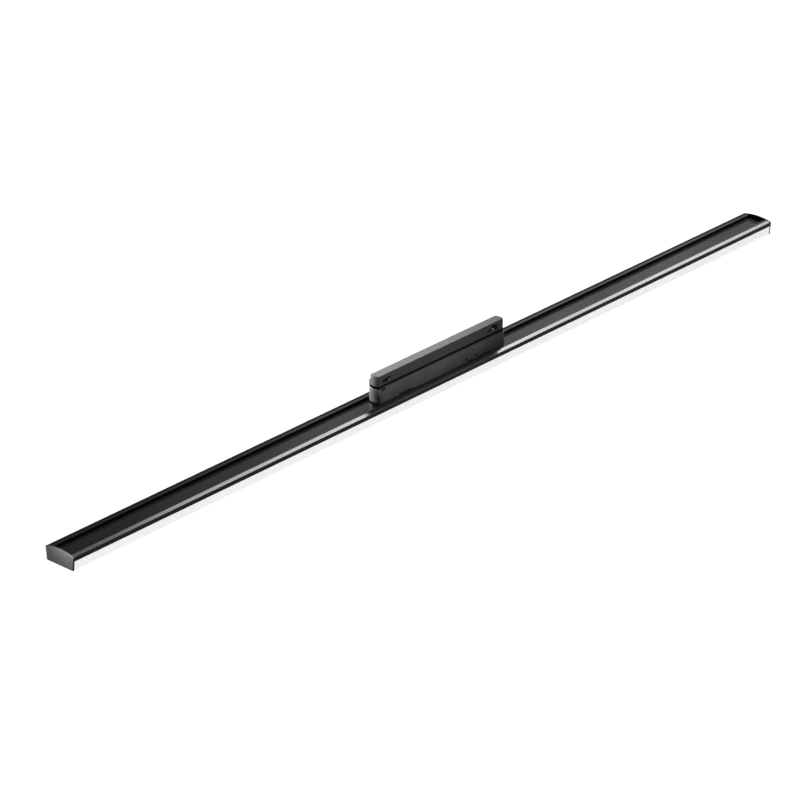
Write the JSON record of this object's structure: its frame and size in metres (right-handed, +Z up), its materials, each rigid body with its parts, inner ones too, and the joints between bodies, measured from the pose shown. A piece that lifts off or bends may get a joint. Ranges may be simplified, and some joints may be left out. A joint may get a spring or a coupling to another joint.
{
  "type": "linear track light",
  "caption": "Slim black linear light for a ceiling track: an open-channel aluminium bar with an opal diffuser below and a long in-track adapter clamped at its middle.",
  "frame": {"origin": "middle of the adapter's shoulder, level with the underside of the track", "axes": "+X along the bar, -Y the front, +Z up into the track"},
  "size_m": [1.2, 0.0424, 0.0479],
  "materials": {
    "housing_black": "satin black anodised extrusion",
    "cap_black": "satin black moulding",
    "carrier_black": "deep black moulding",
    "opal": "opal diffusing polycarbonate, satin",
    "adapter_black": "fine satin black moulding",
    "base_black": "black powder coat",
    "board_white": "white solder mask",
    "led_phosphor": "phosphor-filled package",
    "terminal_white": "moulded nylon",
    "wire_red": "insulated lead",
    "wire_black": "insulated lead",
    "grommet_rubber": "soft rubber",
    "screw_steel": "zinc plated",
    "spring_steel": "spring strip",
    "contact_metal": "copper alloy, nickel plated",
    "board_green": "green solder mask",
    "ferrite": "sintered ferrite",
    "winding_tape": "yellow winding tape",
    "capacitor_can": "sleeved can",
    "chip_black": "moulded epoxy",
    "rotor_black": "moulded rotor"
  },
  "bodies": {
    "root": {"bar_housing": "housing_black", "diffuser": "opal", "end_cap_left": "cap_black", "end_cap_right": "cap_black", "led_board_1": "board_white", "led_board_2": "board_white", "led_board_3": "board_white", "led_board_4": "board_white", "led_packages": "led_phosphor", "board_links": "terminal_white", "centre_jumpers": "wire_black", "feed_connector": "terminal_white", "floor_grommet": "grommet_rubber", "lead_positive": "wire_red", "lead_negative": "wire_black", "input_leads": "wire_red", "base_plate": "base_black", "base_screws": "screw_steel", "clamp_plate_left": "base_black", "clamp_plate_right": "base_black", "clamp_screws": "screw_steel", "post_left": "adapter_black", "post_right": "adapter_black", "neck_frame": "carrier_black", "neck_screws": "screw_steel", "shell_screws": "screw_steel", "lower_cover_front": "adapter_black", "lower_cover_rear": "adapter_black", "end_piece_left": "adapter_black", "end_piece_right": "adapter_black", "driver_board": "board_green", "transformer_core": "ferrite", "transformer_winding": "winding_tape", "output_inductor": "ferrite", "capacitors": "capacitor_can", "control_chips": "chip_black", "output_terminal": "terminal_white", "input_terminal": "terminal_white", "trimmer_bodies": "chip_black", "upper_shell": "adapter_black", "contact_carrier_left": "carrier_black", "contact_carrier_right": "carrier_black", "contact_spring_left_front": "spring_steel", "catch_spring_left_front": "spring_steel", "contact_spring_left_rear": "spring_steel", "catch_spring_left_rear": "spring_steel", "contact_spring_right_front": "spring_steel", "catch_spring_right_front": "spring_steel", "contact_spring_right_rear": "spring_steel", "catch_spring_right_rear": "spring_steel"},
    "contact_left_front": {"contact_left_front": "contact_metal"},
    "catch_left_front": {"catch_left_front": "carrier_black"},
    "contact_left_rear": {"contact_left_rear": "contact_metal"},
    "catch_left_rear": {"catch_left_rear": "carrier_black"},
    "contact_right_front": {"contact_right_front": "contact_metal"},
    "catch_right_front": {"catch_right_front": "carrier_black"},
    "contact_right_rear": {"contact_right_rear": "contact_metal"},
    "catch_right_rear": {"catch_right_rear": "carrier_black"},
    "dimming_trimmer_rotor": {"dimming_trimmer_rotor": "rotor_black"},
    "current_trimmer_rotor": {"current_trimmer_rotor": "rotor_black"}
  },
  "joints": [
    {"name": "contact_left_front_press", "type": "slide", "parent": "root", "child": "contact_left_front", "axis": [0, 1, 0], "range_m": [0, 0.0009], "stiffness_N_per_m": 250, "springref_m": -0.0012, "deforming": ["contact_spring_left_front"]},
    {"name": "catch_left_front_press", "type": "slide", "parent": "root", "child": "catch_left_front", "axis": [0, 1, 0], "range_m": [0, 0.0012], "stiffness_N_per_m": 400, "springref_m": -0.0012, "deforming": ["catch_spring_left_front"]},
    {"name": "contact_left_rear_press", "type": "slide", "parent": "root", "child": "contact_left_rear", "axis": [0, -1, 0], "range_m": [0, 0.0009], "stiffness_N_per_m": 250, "springref_m": -0.0012, "deforming": ["contact_spring_left_rear"]},
    {"name": "catch_left_rear_press", "type": "slide", "parent": "root", "child": "catch_left_rear", "axis": [0, -1, 0], "range_m": [0, 0.0012], "stiffness_N_per_m": 400, "springref_m": -0.0012, "deforming": ["catch_spring_left_rear"]},
    {"name": "contact_right_front_press", "type": "slide", "parent": "root", "child": "contact_right_front", "axis": [0, 1, 0], "range_m": [0, 0.0009], "stiffness_N_per_m": 250, "springref_m": -0.0012, "deforming": ["contact_spring_right_front"]},
    {"name": "catch_right_front_press", "type": "slide", "parent": "root", "child": "catch_right_front", "axis": [0, 1, 0], "range_m": [0, 0.0012], "stiffness_N_per_m": 400, "springref_m": -0.0012, "deforming": ["catch_spring_right_front"]},
    {"name": "contact_right_rear_press", "type": "slide", "parent": "root", "child": "contact_right_rear", "axis": [0, -1, 0], "range_m": [0, 0.0009], "stiffness_N_per_m": 250, "springref_m": -0.0012, "deforming": ["contact_spring_right_rear"]},
    {"name": "catch_right_rear_press", "type": "slide", "parent": "root", "child": "catch_right_rear", "axis": [0, -1, 0], "range_m": [0, 0.0012], "stiffness_N_per_m": 400, "springref_m": -0.0012, "deforming": ["catch_spring_right_rear"]},
    {"name": "dimming_trimmer_turn", "type": "hinge", "parent": "root", "child": "dimming_trimmer_rotor", "pos_m": [0.058, -0.004, -0.0136], "axis": [0, -1, 0], "range_deg": [-135, 135]},
    {"name": "current_trimmer_turn", "type": "hinge", "parent": "root", "child": "current_trimmer_rotor", "pos_m": [0.041, -0.004, -0.0136], "axis": [0, -1, 0], "range_deg": [-135, 135]}
  ]
}
